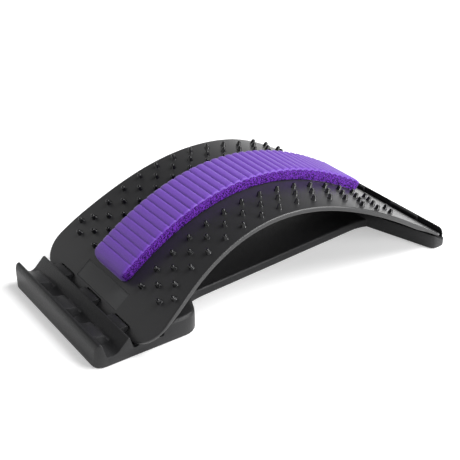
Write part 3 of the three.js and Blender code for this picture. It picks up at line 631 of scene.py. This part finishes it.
bpy.ops.object.select_all(action="DESELECT")
bpy.ops.mesh.primitive_grid_add(x_subdivisions=rows, y_subdivisions=len(ACROSS) - 1, size=2)
foam = bpy.context.object
foam.name = "ribbed_foam"
for point in foam.data.vertices:
    row = round((point.co.x + 1) / 2 * rows)
    share, drop = ACROSS[round((1 - point.co.y) / 2 * (len(ACROSS) - 1))]
    along = FOAM_FROM + (FOAM_TO - FOAM_FROM) * row / rows
    to_end = min(along - FOAM_FROM, FOAM_TO - along)
    softness = min(1, max(0, (along + 110) / 120))
    off_middle = abs(2 * (row % SAMPLES) / SAMPLES - 1)
    ribbed = min(1, max(0, (along - FOAM_FROM - 6) / 6))
    groove = ribbed * (0.9 + 0.45 * softness) * off_middle ** (6 - 3.6 * softness)
    height = FOAM_TOP - groove - round_end(to_end, 9) * 0.95 - drop
    side = FOAM_SIDE - round_end(to_end, 8)
    point.co = Vector((along - LAY_FROM, share * side, height)) * mm
bpy.ops.object.mode_set(mode="EDIT")
bpy.ops.mesh.select_all(action="SELECT")
bpy.ops.mesh.extrude_region_move(TRANSFORM_OT_translate={"value": (0, 0, -4 * mm)})
for point in bmesh.from_edit_mesh(foam.data).verts:
    if point.select:
        point.co.y *= (FOAM_SIDE - 0.8) / FOAM_SIDE
        point.co.z = FOAM_FOOT * mm
bmesh.update_edit_mesh(foam.data)
bpy.ops.mesh.select_all(action="SELECT")
bpy.ops.mesh.normals_make_consistent(inside=False)
bpy.ops.object.mode_set(mode="OBJECT")


def foam_finish(name, pale, deep, blur, cell, depth, shine, sheen):
    """Foam: two purples that its cells mix, sharply or with a blur, and a pitted surface."""
    material = bpy.data.materials.new(name)
    material.use_nodes = True
    nodes = material.node_tree.nodes
    links = material.node_tree.links
    shader = nodes["Principled BSDF"]
    shader.inputs["Roughness"].default_value = 0.55
    shader.inputs["Specular IOR Level"].default_value = shine
    shader.inputs["Sheen Weight"].default_value = sheen
    shader.inputs["Sheen Roughness"].default_value = 0.5
    place = nodes.new("ShaderNodeTexCoord")
    cells = nodes.new("ShaderNodeTexNoise")
    cells.inputs["Scale"].default_value = 1 / (cell * mm)
    cells.inputs["Detail"].default_value = 3
    links.new(place.outputs["Object"], cells.inputs["Vector"])
    mix = nodes.new("ShaderNodeValToRGB")
    mix.color_ramp.elements[0].position = 0.5 - blur
    mix.color_ramp.elements[0].color = (*deep, 1)
    mix.color_ramp.elements[1].position = 0.5 + blur
    mix.color_ramp.elements[1].color = (*pale, 1)
    links.new(cells.outputs["Fac"], mix.inputs["Fac"])
    links.new(mix.outputs["Color"], shader.inputs["Base Color"])
    relief = nodes.new("ShaderNodeBump")
    relief.inputs["Strength"].default_value = 1
    relief.inputs["Distance"].default_value = depth * mm
    links.new(cells.outputs["Fac"], relief.inputs["Height"])
    links.new(relief.outputs["Normal"], shader.inputs["Normal"])
    return material


foam.data.materials.clear()
skin = foam_finish("ribbed foam skin", (0.128, 0.031, 0.39), (0.1, 0.023, 0.32), 0.14, 0.8, 0.03, 0.5, 0.22)
cut_side = foam_finish("cut foam side", (0.15, 0.03, 0.42), (0.01, 0.003, 0.03), 0.09, 1.15, 0.4, 0.1, 0)
foam.data.materials.append(skin)
foam.data.materials.append(cut_side)
for face in foam.data.polygons:
    face.material_index = 1 if abs(face.normal.z) < 0.35 and abs(face.normal.y) > 0.8 else 0
only(foam)
bpy.ops.object.shade_smooth_by_angle(angle=math.radians(60))
lay_on_arch(foam)
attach(foam, "arch")
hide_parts("foam_strip")
bpy.data.objects.remove(arch_line)


# The studio: a plain pale floor that keeps the soft shadow, a white world and two soft lamps. In reflections
# the floor is brighter further out, and the world fades from pale paper at its sides to a dim ceiling.
bpy.ops.object.select_all(action="DESELECT")
bpy.ops.mesh.primitive_plane_add(size=12, location=(0, 0, 0))
floor = bpy.context.object
floor.name = "studio_floor"
floor_white = bpy.data.materials.new("studio white")
floor_white.use_nodes = True
nodes = floor_white.node_tree.nodes
links = floor_white.node_tree.links
paint = nodes["Principled BSDF"]
paint.inputs["Base Color"].default_value = (0.8, 0.8, 0.8, 1)
paint.inputs["Roughness"].default_value = 1
paint.inputs["Specular IOR Level"].default_value = 0
paint.inputs["Emission Color"].default_value = (1, 1, 1, 1)
light_path = nodes.new("ShaderNodeLightPath")
seen = nodes.new("ShaderNodeMath")
seen.operation = "MAXIMUM"
links.new(light_path.outputs["Is Camera Ray"], seen.inputs[0])
links.new(light_path.outputs["Is Glossy Ray"], seen.inputs[1])
place = nodes.new("ShaderNodeTexCoord")
away = nodes.new("ShaderNodeVectorMath")
away.operation = "LENGTH"
links.new(place.outputs["Object"], away.inputs[0])
far_glow = nodes.new("ShaderNodeMapRange")
far_glow.inputs["From Min"].default_value = 0.5
far_glow.inputs["From Max"].default_value = 1.8
far_glow.inputs["To Min"].default_value = 0.4
far_glow.inputs["To Max"].default_value = 1
links.new(away.outputs["Value"], far_glow.inputs["Value"])
glow = nodes.new("ShaderNodeMath")
glow.operation = "MULTIPLY"
links.new(far_glow.outputs["Result"], glow.inputs[1])
links.new(seen.outputs["Value"], glow.inputs[0])
links.new(glow.outputs["Value"], paint.inputs["Emission Strength"])
floor.data.materials.append(floor_white)

world = bpy.data.worlds.new("studio")
world.use_nodes = True
bpy.context.scene.world = world
nodes = world.node_tree.nodes
links = world.node_tree.links
way = nodes.new("ShaderNodeTexCoord")
parts = nodes.new("ShaderNodeSeparateXYZ")
links.new(way.outputs["Generated"], parts.inputs["Vector"])
lean = nodes.new("ShaderNodeMath")
lean.operation = "MULTIPLY_ADD"
lean.inputs[1].default_value = 0.25
links.new(parts.outputs["X"], lean.inputs[0])
links.new(parts.outputs["Z"], lean.inputs[2])
paper_to_ceiling = nodes.new("ShaderNodeMapRange")
paper_to_ceiling.interpolation_type = "SMOOTHSTEP"
paper_to_ceiling.inputs["From Min"].default_value = 0.15
paper_to_ceiling.inputs["From Max"].default_value = 0.66
paper_to_ceiling.inputs["To Min"].default_value = 0.85
paper_to_ceiling.inputs["To Max"].default_value = 0.08
links.new(lean.outputs["Value"], paper_to_ceiling.inputs["Value"])
light_path = nodes.new("ShaderNodeLightPath")
seen = nodes.new("ShaderNodeMath")
seen.operation = "MAXIMUM"
links.new(paper_to_ceiling.outputs["Result"], seen.inputs[0])
links.new(light_path.outputs["Is Camera Ray"], seen.inputs[1])
links.new(seen.outputs["Value"], nodes["Background"].inputs["Strength"])
nodes["Background"].inputs["Color"].default_value = (1, 1, 1, 1)


def lamp(name, place, size, watts):
    """A square soft box that faces the middle of the arch."""
    place = Vector(place)
    bpy.ops.object.select_all(action="DESELECT")
    aim = (Vector((0, 0, 0.04)) - place).to_track_quat("-Z", "Y").to_euler()
    bpy.ops.object.light_add(type="AREA", location=place, rotation=aim)
    box = bpy.context.object
    box.name = name
    box.data.size = size
    box.data.energy = watts


lamp("overhead_soft_box", (0.75, -0.45, 1.3), 1.1, 38)
lamp("front_right_soft_box", (0.6, -1.3, 0.5), 0.5, 13)
